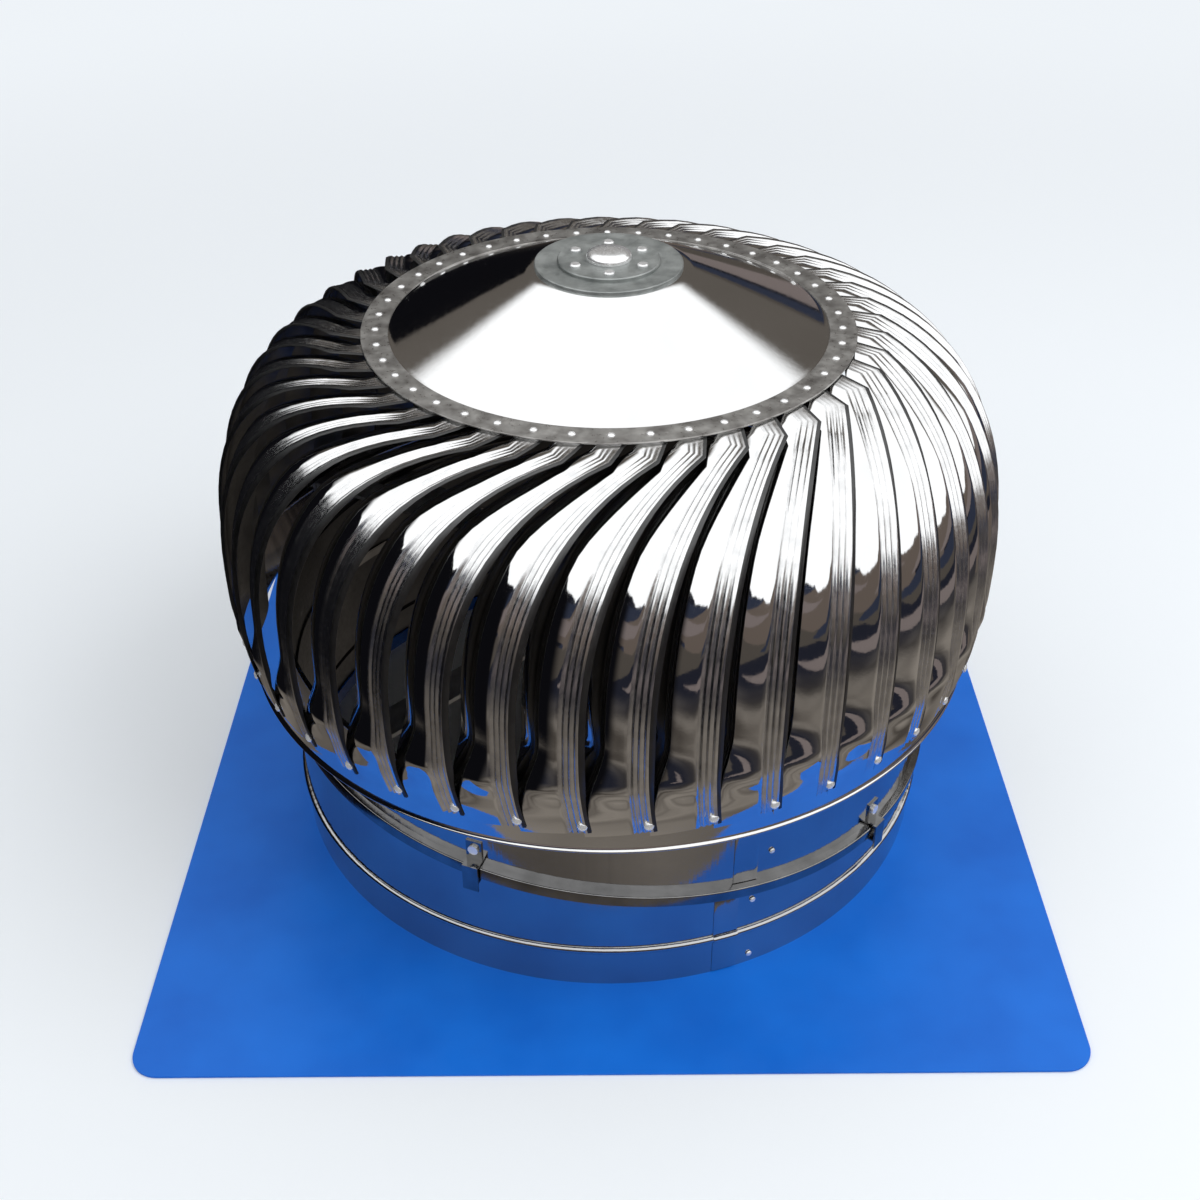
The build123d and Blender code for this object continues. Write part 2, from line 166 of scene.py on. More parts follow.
def spread(nodes, links, value, low, high):
    reach = nodes.new('ShaderNodeMapRange')
    reach.inputs['From Min'].default_value = noiseRange[0]
    reach.inputs['From Max'].default_value = noiseRange[1]
    reach.inputs['To Min'].default_value = low
    reach.inputs['To Max'].default_value = high
    links.new(value, reach.inputs['Value'])
    return reach.outputs['Result']


def blendColours(nodes, links, value, first, second):
    ramp = nodes.new('ShaderNodeValToRGB')
    for element, position, colour in zip(ramp.color_ramp.elements, noiseRange, (first, second)):
        element.position = position
        element.color = (*colour, 1)
    links.new(value, ramp.inputs['Fac'])
    return ramp.outputs['Color']


def bumpNode(nodes, links, value, strength, distance, before=None):
    bump = nodes.new('ShaderNodeBump')
    bump.inputs['Strength'].default_value = strength
    bump.inputs['Distance'].default_value = distance
    links.new(value, bump.inputs['Height'])
    if before:
        links.new(before, bump.inputs['Normal'])
    return bump.outputs['Normal']


bumpDepth = {'waves': 0.01, 'grain': 0.0004, 'streaks': 0.001, 'peel': 0.0006}


def sheetMetal(name, settings):
    # rolled or polished sheet: faint waves, a fine grain and uneven gloss
    material, nodes, links, shader, where = newMaterial(name)
    shader.inputs['Metallic'].default_value = settings.get('metal', 1.0)
    patches = noiseNode(nodes, links, where, settings['patchScale'])
    colour = blendColours(nodes, links, patches, settings['dark'], settings['light'])
    links.new(colour, shader.inputs['Base Color'])
    grain = noiseNode(nodes, links, where, settings['grainScale'], detail=4.0)
    links.new(spread(nodes, links, grain, *settings['roughness']), shader.inputs['Roughness'])
    waves = noiseNode(nodes, links, where, settings['waveScale'], detail=1.0)
    normal = bumpNode(nodes, links, waves, settings['waves'], bumpDepth['waves'])
    normal = bumpNode(nodes, links, grain, settings['grain'], bumpDepth['grain'], normal)
    if 'streaks' in settings:
        # fine upright lines
        upright = noiseNode(nodes, links, where, settings['streakScale'], detail=2.0, stretch=(1, 1, 0.02))
        normal = bumpNode(nodes, links, upright, settings['streaks'], bumpDepth['streaks'], normal)
    links.new(normal, shader.inputs['Normal'])
    return material


def paintedSheet(name, settings):
    # paint or moulded polymer: cloudy colour, smudged gloss and a fine peel
    material, nodes, links, shader, where = newMaterial(name)
    clouds = noiseNode(nodes, links, where, settings['cloudScale'])
    colour = blendColours(nodes, links, clouds, settings['dark'], settings['light'])
    links.new(colour, shader.inputs['Base Color'])
    peel = noiseNode(nodes, links, where, settings['peelScale'], detail=2.0)
    smudge = noiseNode(nodes, links, where, settings['smudgeScale'], detail=5.0)
    links.new(spread(nodes, links, smudge, *settings['roughness']), shader.inputs['Roughness'])
    links.new(bumpNode(nodes, links, peel, settings['peel'], bumpDepth['peel']), shader.inputs['Normal'])
    shader.inputs['Specular IOR Level'].default_value = settings['gloss']
    return material


metalFinishes = {
    'mirrorSheet': {
        'dark': (0.74, 0.74, 0.735), 'light': (0.80, 0.80, 0.80), 'roughness': (0.03, 0.075),
        'patchScale': 14.0, 'grainScale': 300.0, 'waveScale': 8.0, 'waves': 0.016, 'grain': 0.04},
    'pleatedSheet': {
        'dark': (0.72, 0.72, 0.72), 'light': (0.88, 0.88, 0.88), 'roughness': (0.15, 0.25),
        'patchScale': 90.0, 'grainScale': 240.0, 'waveScale': 30.0, 'waves': 0.02, 'grain': 0.05},
    # near-black sheet for faces inside the rotor and neck: painted shade, not the metal's own colour
    'paintedShadeSheet': {
        'dark': (0.07, 0.07, 0.07), 'light': (0.12, 0.12, 0.12), 'roughness': (0.34, 0.48),
        'patchScale': 20.0, 'grainScale': 260.0, 'waveScale': 12.0, 'waves': 0.04, 'grain': 0.1},
    'neckSheet': {
        'dark': (0.40, 0.40, 0.405), 'light': (0.50, 0.50, 0.505), 'roughness': (0.06, 0.12),
        'patchScale': 10.0, 'grainScale': 260.0, 'waveScale': 12.0, 'waves': 0.05, 'grain': 0.06,
        'streaks': 0.30, 'streakScale': 110.0},
    'jointSheet': {
        'dark': (0.22, 0.218, 0.215), 'light': (0.32, 0.318, 0.315), 'roughness': (0.10, 0.18),
        'patchScale': 50.0, 'grainScale': 320.0, 'waveScale': 20.0, 'waves': 0.04, 'grain': 0.05},
    'domeSheet': {
        'dark': (0.74, 0.74, 0.735), 'light': (0.81, 0.81, 0.81), 'roughness': (0.05, 0.10),
        'patchScale': 12.0, 'grainScale': 220.0, 'waveScale': 8.0, 'waves': 0.09, 'grain': 0.05},
    'ringSheet': {
        'dark': (0.20, 0.19, 0.18), 'light': (0.50, 0.49, 0.47), 'roughness': (0.26, 0.42), 'metal': 0.85,
        'patchScale': 60.0, 'grainScale': 300.0, 'waveScale': 20.0, 'waves': 0.05, 'grain': 0.2},
    'hubCasting': {
        'dark': (0.22, 0.235, 0.23), 'light': (0.42, 0.44, 0.43), 'roughness': (0.36, 0.52), 'metal': 0.8,
        'patchScale': 60.0, 'grainScale': 420.0, 'waveScale': 40.0, 'waves': 0.04, 'grain': 0.25},
    'capSheet': {
        'dark': (0.84, 0.85, 0.85), 'light': (0.94, 0.94, 0.94), 'roughness': (0.16, 0.28), 'metal': 0.75,
        'patchScale': 70.0, 'grainScale': 420.0, 'waveScale': 60.0, 'waves': 0.05, 'grain': 0.1},
    'rivetMetal': {
        'dark': (0.82, 0.83, 0.84), 'light': (0.94, 0.94, 0.94), 'roughness': (0.16, 0.26), 'metal': 0.6,
        'patchScale': 120.0, 'grainScale': 500.0, 'waveScale': 90.0, 'waves': 0.02, 'grain': 0.08},
    'zincSteel': {
        'dark': (0.42, 0.43, 0.44), 'light': (0.60, 0.61, 0.62), 'roughness': (0.28, 0.45),
        'patchScale': 45.0, 'grainScale': 320.0, 'waveScale': 24.0, 'waves': 0.03, 'grain': 0.2},
    'groundSteel': {
        'dark': (0.52, 0.53, 0.54), 'light': (0.66, 0.67, 0.68), 'roughness': (0.16, 0.26),
        'patchScale': 80.0, 'grainScale': 600.0, 'waveScale': 50.0, 'waves': 0.01, 'grain': 0.1}}
paintFinishes = {
    'bluePaint': {
        'dark': (0.003, 0.125, 0.60), 'light': (0.006, 0.165, 0.72), 'roughness': (0.34, 0.46), 'gloss': 0.2,
        'cloudScale': 9.0, 'smudgeScale': 26.0, 'peelScale': 420.0, 'peel': 0.12},
    'cagePolymer': {
        'dark': (0.02, 0.02, 0.022), 'light': (0.035, 0.035, 0.037), 'roughness': (0.5, 0.6), 'gloss': 0.4,
        'cloudScale': 9.0, 'smudgeScale': 26.0, 'peelScale': 420.0, 'peel': 0.12}}
finishes = {name: sheetMetal(name, settings) for name, settings in metalFinishes.items()}
finishes.update({name: paintedSheet(name, settings) for name, settings in paintFinishes.items()})
print("materials ready", len(finishes))

# the blades, in millimetres and degrees; grooves, turnedEdge and columns go by their distance from the
# outer edge, the first two with their depths
blade = {
    'count': 42, 'perNode': 3, 'sheet': 0.8, 'width': 56.0, 'tipWidth': 30.0, 'arch': 8.0, 'endArch': 1.0,
    'edgeStrip': 15.0, 'droop': 8.0, 'edgePlane': 190.0, 'equatorRadius': 347.0, 'equatorHeight': 295.0,
    'bandRadius': 330.0, 'bandBottom': 186.0, 'bandTop': 231.0, 'crownHeight': 481.2, 'fullness': 2.35,
    'ringOuter': 209.0, 'foot': 213.5, 'crownBend': 430.0, 'crownTurn': 36.0, 'rivetTurn': -35.9,
    'tabWidth': 22.0, 'tabReach': -2.0, 'tabLength': 17.0, 'tabTop': 479.4, 'tabArch': 0.1,
    'rows': 34, 'lookAhead': 0.004,
    'grooves': {7.2: 1.4, 11.7: 1.4, 16.2: 1.6}, 'grooveHalf': 2.2,
    'turnedEdge': {0.0: 4.0, 0.7: 2.5, 1.7: 1.3, 3.0: 0.45, 4.6: 0.0}, 'shadeLineEdge': 3.1,
    'columns': [21, 25, 29, 33, 37, 41, 45, 49, 53, 56],
    # each outer finish is followed by that of its inner face; the inner faces and the fifth finish, a line
    # along the outer edge, are painted shade
    'finishes': ('mirrorSheet', 'paintedShadeSheet', 'pleatedSheet', 'paintedShadeSheet', 'paintedShadeSheet', 'paintedShadeSheet'),
    'stripSlot': 2, 'shadeLineSlot': 4}
bench = 5.0  # the flat blade is laid out this many metres away, clear of every row's own place


def ease(share):
    share = max(0.0, min(1.0, share))
    return share * share * (3 - 2 * share)


def cageOutline(share):
    # radius and height of the cage: -1 at the band's foot, 0 at the widest place, 1 at the ring
    if share < 0:
        radius = blade['equatorRadius'] - (blade['equatorRadius'] - blade['bandRadius']) * share ** 2
        return radius, blade['equatorHeight'] + (blade['equatorHeight'] - blade['bandBottom']) * share
    angle = share * pi / 2
    power = 2 / blade['fullness']
    radius = blade['ringOuter'] + (blade['equatorRadius'] - blade['ringOuter']) * cos(angle) ** power
    height = blade['equatorHeight'] + (blade['crownHeight'] - blade['equatorHeight']) * sin(angle) ** power
    return radius, height


def closedLean(radius):
    chord = 2 * radius * sin(pi / blade['count'])
    return chord / (2 * radius) + 3 * blade['sheet'] / chord


def bladeRow(share):
    # where a row of the blade goes: its outer point, twist, tilt, spin about the rotor axis, width and arch
    radius, height = cageOutline(share)
    along = sqrt(radius ** 2 - blade['edgePlane'] ** 2)
    nextRadius, nextHeight = cageOutline(share + blade['lookAhead'])
    nextAlong = sqrt(nextRadius ** 2 - blade['edgePlane'] ** 2)
    tilt = atan2(nextAlong - along, nextHeight - height)
    fullLean = asin(blade['edgePlane'] / radius)
    opening = ease((height - blade['bandTop']) / (blade['equatorHeight'] - blade['bandTop']))
    lean = closedLean(radius) + (fullLean - closedLean(radius)) * opening
    closing = ease((height - blade['crownBend']) / (blade['crownHeight'] - blade['crownBend']))
    narrowing = max(0.0, (height - blade['equatorHeight']) / (blade['crownHeight'] - blade['equatorHeight']))
    return {
        'point': (blade['edgePlane'], -along, height),
        'twist': fullLean - lean - radians(blade['droop']) * closing,
        'tilt': tilt,
        'spin': 0.0,
        'width': blade['width'] - (blade['width'] - blade['tipWidth']) * narrowing ** 4,
        'arch': blade['endArch'] + (blade['arch'] - blade['endArch']) * ease(2 * opening) * (1 - closing)}


def tabRow(inward):
    angle = radians(blade['rivetTurn'])
    radius = blade['ringOuter'] + blade['tabReach'] - inward
    half = blade['tabWidth'] / 2
    x = radius * cos(angle) - half * sin(angle)
    y = radius * sin(angle) + half * cos(angle)
    return {
        'point': (x, y, blade['tabTop']), 'twist': 0.0, 'tilt': -pi / 2, 'spin': angle + pi / 2,
        'width': blade['tabWidth'], 'arch': blade['tabArch']}


def archAt(across):
    # the edge strip rises straight to half the arch, and the rest is an arc
    strip, width, arch = blade['edgeStrip'], blade['width'], blade['arch']
    if across <= strip:
        return arch / 2 * across / strip
    share = (across - strip) / (width - strip)
    return arch / 2 * (1 - share) + 3 * arch * share * (1 - share)


def bladeColumns():
    # distances from the outer edge, and how far each is pressed in as part of a groove
    across = list(blade['turnedEdge'])
    pressed = {}
    half = blade['grooveHalf']
    for groove, full in blade['grooves'].items():
        for offset, depth in ((-half, 0.0), (-half / 2, 0.5), (0.0, 1.0), (half / 2, 0.5), (half, 0.0)):
            across.append(groove + offset)
            pressed[groove + offset] = depth * full
    return across + blade['columns'], pressed


def bladeRows():
    footShare = (blade['foot'] - blade['equatorHeight']) / (blade['equatorHeight'] - blade['bandBottom'])
    topAlong = blade['edgePlane'] * tan(radians(blade['crownTurn']))
    reach = hypot(blade['edgePlane'], topAlong) - blade['ringOuter']
    crownDepth = blade['equatorRadius'] - blade['ringOuter']
    topShare = acos((reach / crownDepth) ** (blade['fullness'] / 2)) * 2 / pi
    steps = blade['rows'] - 1
    rows = [bladeRow(footShare + (topShare - footShare) * row / steps) for row in range(steps + 1)]
    return rows + [tabRow(0.0), tabRow(blade['tabLength'])]


def finishFaces(piece, slot, test):
    pick(piece, 'FACE', test)
    piece.active_material_index = slot
    bpy.ops.object.material_slot_assign()
    bpy.ops.object.mode_set(mode='OBJECT')


def makeBlade():
    across, pressed = bladeColumns()
    rows = bladeRows()
    dropSelection()
    bpy.ops.mesh.primitive_grid_add(
        x_subdivisions=len(across) - 1, y_subdivisions=len(rows) - 1, size=1,
        location=(bench, 0, bench), rotation=(pi / 2, 0, 0))
    piece = bpy.context.object
    piece.name = 'blade'
    for finish in blade['finishes']:
        piece.data.materials.append(finishes[finish])
    applyPlace(piece)
    edge = blade['edgePlane'] * mm
    # columns are set out across the blade and lifted to the arch
    for number, distance in enumerate(across):
        start = bench + 0.5 - number / (len(across) - 1)
        pick(piece, 'VERT', lambda co: abs(co.x - start) < near)
        rise = archAt(distance) - blade['turnedEdge'].get(distance, 0.0)
        bpy.ops.transform.translate(value=(edge - distance * mm - start, -rise * mm, 0))
    levels = [bench - 0.5 + number / (len(rows) - 1) for number in range(len(rows))]
    strip = edge - across[len(across) - len(blade['columns']) - 1] * mm  # the inner side of the edge strip
    plain = blade['width'] * mm - (edge - strip)
    finishFaces(piece, blade['stripSlot'], lambda co: co.x > strip)
    # a thin strip along the turned outer edge gets the near-black sheet: a painted shade line where the next
    # blade laps under
    finishFaces(piece, blade['shadeLineSlot'], lambda co: co.x > edge - blade['shadeLineEdge'] * mm)
    # rows are narrowed beside the edge strip and flattened
    for level, row in zip(levels, rows):
        narrow = (row['width'] * mm - (edge - strip)) / plain
        pick(piece, 'VERT', lambda co: abs(co.z - level) < near and co.x < strip + near)
        bpy.ops.transform.resize(value=(narrow, 1, 1), center_override=(strip, 0, level))
        pick(piece, 'VERT', lambda co: abs(co.z - level) < near)
        bpy.ops.transform.resize(value=(1, row['arch'] / blade['arch'], 1), center_override=(edge, 0, level))
    # pressed grooves beside the outer edge, as far as the tab
    for distance, depth in pressed.items():
        if depth:
            pick(piece, 'VERT', lambda co: abs(co.x - edge + distance * mm) < near and co.z < levels[-3])
            bpy.ops.transform.translate(value=(0, depth * mm, 0))
    # each row is turned and carried to its place
    for level, row in zip(levels, rows):
        pick(piece, 'VERT', lambda co: abs(co.z - level) < near)
        pivot = (edge, 0, level)
        turn(row['twist'], 'Z', pivot)
        turn(row['tilt'], 'X', pivot)
        if row['spin']:
            turn(row['spin'], 'Z', pivot)
        point = [value * mm for value in row['point']]
        bpy.ops.transform.translate(value=(point[0] - edge, point[1], point[2] - level))
    thicken(piece, blade['sheet'] * mm, 1)
    smoothFaces(piece, 40)
    return piece


firstBlade = makeBlade()
blades = [firstBlade]
blades += [copyPiece(firstBlade, f"blade_{number + 1:02d}") for number in range(1, blade['count'])]
firstBlade.name = "blade_01"
for number, piece in enumerate(blades):
    piece.rotation_euler.z = radians(-90 - blade['rivetTurn'] + number * 360 / blade['count'])
    applyPlace(piece)
    node = f"blades_{number // blade['perNode'] + 1:02d}"
    place(piece, 'rotor', None, 'mirror_sheet', node)
print("blades made", len(blades), "faces in each", len(firstBlade.data.polygons))


def arc(centre, radius, start, end, count=6):
    # points of an arc in a turned outline, angles in degrees from outwards
    angles = [radians(start + (end - start) * step / count) for step in range(count + 1)]
    return [(centre[0] + radius * cos(angle), centre[1] + radius * sin(angle)) for angle in angles]


def lathe(name, outline, closed=True, steps=256, angle=2 * pi):
    # one point is drawn along the outline and spun about the vertical axis
    dropSelection()
    bpy.ops.mesh.primitive_plane_add(size=2 * mm, location=(outline[0][0] * mm, 0, outline[0][1] * mm))
    piece = bpy.context.object
    piece.name = name
    applyPlace(piece)
    bpy.ops.object.mode_set(mode='EDIT')
    bpy.ops.mesh.select_mode(type='VERT')
    bpy.ops.mesh.select_all(action='SELECT')
    bpy.ops.mesh.merge(type='CENTER')
    ends = outline[1:] + outline[:1] if closed else outline[1:]
    here = outline[0]
    for there in ends:
        bpy.ops.mesh.extrude_vertices_move(
            TRANSFORM_OT_translate={'value': ((there[0] - here[0]) * mm, 0, (there[1] - here[1]) * mm)})
        here = there
    bpy.ops.mesh.select_all(action='SELECT')
    bpy.ops.mesh.remove_doubles(threshold=weld)
    bpy.ops.mesh.spin(steps=steps, angle=angle, center=(0, 0, 0), axis=(0, 0, 1))
    bpy.ops.mesh.select_all(action='SELECT')
    bpy.ops.mesh.remove_doubles(threshold=weld)
    bpy.ops.mesh.normals_make_consistent(inside=False)
    bpy.ops.object.mode_set(mode='OBJECT')
    return piece


def cutAt(piece, point, normal, keepUpper):
    pick(piece, 'VERT', lambda co: True)
    bpy.ops.mesh.bisect(
        plane_co=point, plane_no=normal, use_fill=False, clear_inner=keepUpper, clear_outer=not keepUpper)
    bpy.ops.object.mode_set(mode='OBJECT')


def flipFaces(piece):
    pick(piece, 'FACE', lambda co: True)
    bpy.ops.mesh.flip_normals()
    bpy.ops.object.mode_set(mode='OBJECT')


def faceOut(piece):
    # an open wall is turned so that its faces look away from the rotor axis
    side = 0
    for face in piece.data.polygons:
        side += face.area * (face.normal.x * face.center.x + face.normal.y * face.center.y)
    if side < 0:
        flipFaces(piece)


# the neck: two tubes that meet at a tilted joint
neck = {
    'radius': 300.0, 'sheet': 1.0, 'foot': 2.0, 'top': 214.0, 'joint': 113.0, 'tilt': 6.4, 'jointSlit': 1.2,
    'lowerUncut': 160.0, 'upperUncut': 60.0, 'beadHeight': 43.0, 'beadHalf': 3.4, 'beadFoot': 1.5,
    'hemDepth': 2.5, 'hemHeight': 4.0, 'hemLip': 0.4}
tilt = radians(neck['tilt'])
jointAxis = Vector((sin(tilt), 0, cos(tilt)))
jointPoint = Vector((0, 0, neck['joint'] * mm))


def onJoint(distance):
    # a point this far above the joint plane
    return jointPoint + jointAxis * distance * mm


def tiltToJoint(piece):
    piece.rotation_euler.y = tilt
    piece.location.z = neck['joint'] * mm
    applyPlace(piece)


def beadedWall(radius, low, high):
    bead = arc((radius, neck['beadHeight']), neck['beadHalf'], -90, 90, 10)
    reach = neck['beadHalf'] + neck['beadFoot']
    foot = [(radius, low), (radius, neck['beadHeight'] - reach)]
    return foot + bead + [(radius, neck['beadHeight'] + reach), (radius, high)]


def hemmedWall(radius, low, high):
    roll = arc((radius, high - neck['hemHeight']), neck['hemDepth'], -90, 60, 8)
    return [(radius, low)] + roll + [(radius + neck['hemLip'], high)]


def makeTube(name, outline, slit, keepUpper):
    # polished outside; the inside gets a near-black sheet, painted shade
    tube = lathe(name, outline, closed=False)
    faceOut(tube)
    cutAt(tube, onJoint(slit), jointAxis, keepUpper)
    for finish in ('neckSheet', 'paintedShadeSheet'):
        tube.data.materials.append(finishes[finish])
    thicken(tube, neck['sheet'] * mm, 1)
    return tube


lowerWall = beadedWall(neck['radius'], neck['foot'], neck['lowerUncut'])
lowerTube = makeTube('lowerNeck', lowerWall, -neck['jointSlit'], False)

# heights of the rim wire and the skirt are from the joint plane
rim = {'inner': 298.8, 'low': -9.0, 'outer': 303.6, 'centre': 303.0, 'round': 3.0}
rimWire = lathe(
    'rimWire',
    [(rim['inner'], rim['low']), (rim['outer'], rim['low'])]
    + arc((rim['centre'], rim['low'] + rim['round']), rim['round'], -80, 0)
    + arc((rim['centre'], -rim['round']), rim['round'], 0, 90)
    + [(rim['inner'], 0.0)])
tiltToJoint(rimWire)

upperWall = hemmedWall(neck['radius'], neck['upperUncut'], neck['top'])
upperTube = makeTube('upperNeck', upperWall, neck['jointSlit'], True)

skirt = {
    'shelf': 0.4, 'sheet': 1.2, 'bore': 298.8, 'inner': 306.4, 'outer': 307.6, 'inside': 2.6, 'foot': -9.0,
    'footLip': -8.7, 'insideLip': -8.8, 'lipWidth': 0.3, 'round': 1.2}
skirtTop = skirt['shelf'] + skirt['sheet']
skirtPiece = lathe(
    'skirt',
    [(skirt['bore'], skirt['shelf']), (skirt['inner'] - skirt['inside'], skirt['shelf']),
     (skirt['inner'], -skirt['inside']), (skirt['inner'], skirt['insideLip']),
     (skirt['inner'] + skirt['lipWidth'], skirt['foot']), (skirt['outer'] - skirt['lipWidth'], skirt['foot']),
     (skirt['outer'], skirt['footLip'])]
    + arc((skirt['outer'] - skirt['round'], skirtTop - skirt['round']), skirt['round'], 0, 90, 8)
    + [(skirt['bore'], skirtTop)])
tiltToJoint(skirtPiece)
for piece in (lowerTube, rimWire, upperTube, skirtPiece):
    smoothFaces(piece)
place(lowerTube, 'base', None, 'mirror_sheet', 'lower_neck')
place(rimWire, 'base', finishes['jointSheet'], 'mirror_sheet')
place(upperTube, 'neck', None, 'mirror_sheet', 'upper_neck')
place(skirtPiece, 'neck', finishes['jointSheet'], 'mirror_sheet')
print("neck made")

# lapped seams of the neck, each a strip laid on the tube; low and high cuts are from the joint plane
seam = {
    'start': 20.8, 'width': 4.2, 'lift': 0.9, 'round': 0.25, 'upperTurn': 3.0,
    'lowerFoot': 3.0, 'lowerCut': -10.0, 'upperTop': 206.0, 'upperCut': 2.2}


def seamPiece(name, outline, low, high, turnedBy):
    piece = lathe(name, outline, closed=False, steps=8, angle=radians(seam['width']))
    faceOut(piece)
    piece.rotation_euler.z = radians(seam['start'] + turnedBy - 90)
    applyPlace(piece)
    if low is not None:
        cutAt(piece, onJoint(low), jointAxis, True)
    if high is not None:
        cutAt(piece, onJoint(high), jointAxis, False)
    thicken(piece, seam['lift'] * mm)
    roundEdges(piece, seam['round'] * mm)
    smoothFaces(piece)
    return piece


lifted = neck['radius'] + seam['lift']
lowerLap = beadedWall(lifted, seam['lowerFoot'], neck['lowerUncut'])
lowerSeam = seamPiece('lowerSeam', lowerLap, None, seam['lowerCut'], 0.0)
upperLap = [(lifted, neck['upperUncut']), (lifted, seam['upperTop'])]
upperSeam = seamPiece('upperSeam', upperLap, seam['upperCut'], None, seam['upperTurn'])
place(lowerSeam, 'base', finishes['neckSheet'], 'mirror_sheet')
place(upperSeam, 'neck', finishes['neckSheet'], 'mirror_sheet')

# rivet heads, each kind with its radius and height, and where they stand
rivet = {
    'shank': 0.4, 'ringHead': (3.2, 1.5), 'ringRadius': 197.0, 'ringHeight': 482.0,
    'bandHead': (4.0, 2.0), 'bandHeight': 221.0, 'bandLag': 21.0, 'bandLean': 84, 'bandSink': 0.6,
    'seamHead': (2.6, 1.3), 'seamTurn': 23.3, 'lowerHeights': (12.0, 78.0), 'upperHeights': (128.0, 190.0)}


def rivetHead(name, radius, height):
    dropSelection()
    bpy.ops.mesh.primitive_uv_sphere_add(segments=16, ring_count=10, radius=radius * mm, location=(0, 0, 0))
    piece = bpy.context.object
    piece.name = name
    pick(piece, 'VERT', lambda co: True)
    bpy.ops.mesh.bisect(plane_co=(0, 0, 0), plane_no=(0, 0, 1), use_fill=True, clear_inner=True)
    bpy.ops.mesh.select_all(action='SELECT')
    bpy.ops.transform.resize(value=(1, 1, height / radius), center_override=(0, 0, 0))
    # a straight foot under the dome
    bpy.ops.object.mode_set(mode='OBJECT')
    pick(piece, 'FACE', lambda co: co.z < weld)
    bpy.ops.mesh.extrude_region_move(TRANSFORM_OT_translate={'value': (0, 0, -rivet['shank'] * mm)})
    bpy.ops.object.mode_set(mode='OBJECT')
    smoothFaces(piece, 50)
    return piece


def setOut(head, name, radius, height, angles, lean):
    # copies of a head round the axis, each leaning outwards by the same angle
    heads = []
    for angle in angles:
        twin = copyPiece(head, name)
        twin.rotation_euler = (0, radians(lean), radians(angle))
        around = radians(angle)
        twin.location = (radius * mm * cos(around), radius * mm * sin(around), height * mm)
        applyPlace(twin)
        heads.append(twin)
    return joinPieces(heads, name)


def seamRivets(head, name, turnedBy, heights):
    turned = [rivet['seamTurn'] - 90 + turnedBy]
    return joinPieces([setOut(head, 'seamHead', lifted, height, turned, 90) for height in heights], name)


def dropPiece(piece):
    makeActive(piece)
    bpy.ops.object.delete()


def outlineRadius(height):
    # the cage's radius between the band's foot and its widest place
    share = (height - blade['equatorHeight']) / (blade['equatorHeight'] - blade['bandBottom'])
    return cageOutline(share)[0]


pitches = [number * 360 / blade['count'] for number in range(blade['count'])]
head = rivetHead('head', *rivet['ringHead'])
onRing = [-90 + angle for angle in pitches]
topRivets = setOut(head, 'topRivets', rivet['ringRadius'], rivet['ringHeight'], onRing, 0)
dropPiece(head)
head = rivetHead('head', *rivet['bandHead'])
onBand = [-90 - rivet['bandLag'] + angle for angle in pitches]
bandRadius = outlineRadius(rivet['bandHeight']) - rivet['bandSink']
footRivets = setOut(head, 'footRivets', bandRadius, rivet['bandHeight'], onBand, rivet['bandLean'])
dropPiece(head)
head = rivetHead('head', *rivet['seamHead'])
lowerSeamRivets = seamRivets(head, 'lowerSeamRivets', 0.0, rivet['lowerHeights'])
upperSeamRivets = seamRivets(head, 'upperSeamRivets', seam['upperTurn'], rivet['upperHeights'])
dropPiece(head)
place(topRivets, 'rotor', finishes['rivetMetal'], 'rivet_metal')
place(footRivets, 'rotor', finishes['rivetMetal'], 'rivet_metal')
place(lowerSeamRivets, 'base', finishes['rivetMetal'], 'rivet_metal')
place(upperSeamRivets, 'neck', finishes['rivetMetal'], 'rivet_metal')
print("rivets made")

# turned sheets of the rotor: band, ring, dome, hub
band = {
    'inner': 328.8, 'outer': 330.1, 'foot': 186.2, 'roll': 1.3, 'rollRadius': 330.6, 'wallFoot': 191.0,
    'innerFoot': 192.2, 'top': 231.0, 'lip': 0.2, 'sheet': 1.2, 'clearance': 0.9}
bandTop = outlineRadius(band['top'])
bandTop = bandTop * cos(closedLean(bandTop)) - blade['sheet'] - band['clearance']
footBand = lathe(
    'footBand',
    [(band['inner'], band['foot'])]
    + arc((band['rollRadius'], band['foot'] + band['roll']), band['roll'], -90, 60, 8)
    + [(band['outer'], band['wallFoot']), (bandTop, band['top'] - band['lip']),
       (bandTop - band['lip'], band['top']), (bandTop - band['sheet'], band['top']),
       (band['inner'], band['innerFoot'])])
smoothFaces(footBand)
place(footBand, 'rotor', finishes['mirrorSheet'], 'mirror_sheet', 'bottom_band')

ring = {'inner': 186.0, 'outer': 209.0, 'low': 480.8, 'top': 482.0, 'edge': 0.25}
topRing = lathe(
    'topRing',
    [(ring['inner'], ring['low']), (ring['outer'], ring['low']), (ring['outer'], ring['top'] - ring['edge']),
     (ring['outer'] - ring['edge'], ring['top']), (ring['inner'] + ring['edge'], ring['top']),
     (ring['inner'], ring['top'] - ring['edge'])])
smoothFaces(topRing)
place(topRing, 'rotor', finishes['ringSheet'], 'dull_sheet', 'top_ring')

dome = {
    'land': 207.0, 'foot': 185.95, 'low': 480.8, 'shoulder': 66.0, 'bore': 25.8, 'top': 533.0, 'sheet': 1.2,
    'bend': 5.0}
domeSheet = lathe(
    'domeSheet',
    [(dome['land'], dome['low']), (dome['foot'], dome['low']), (dome['shoulder'], dome['top']),
     (dome['bore'], dome['top'])],
    closed=False)
if sum(face.area * face.normal.z for face in domeSheet.data.polygons) < 0:
    flipFaces(domeSheet)
roundEdges(domeSheet, dome['bend'] * mm, 6, 12)
thicken(domeSheet, dome['sheet'] * mm)
smoothFaces(domeSheet, 30)
place(domeSheet, 'rotor', finishes['domeSheet'], 'dull_sheet', 'dome')

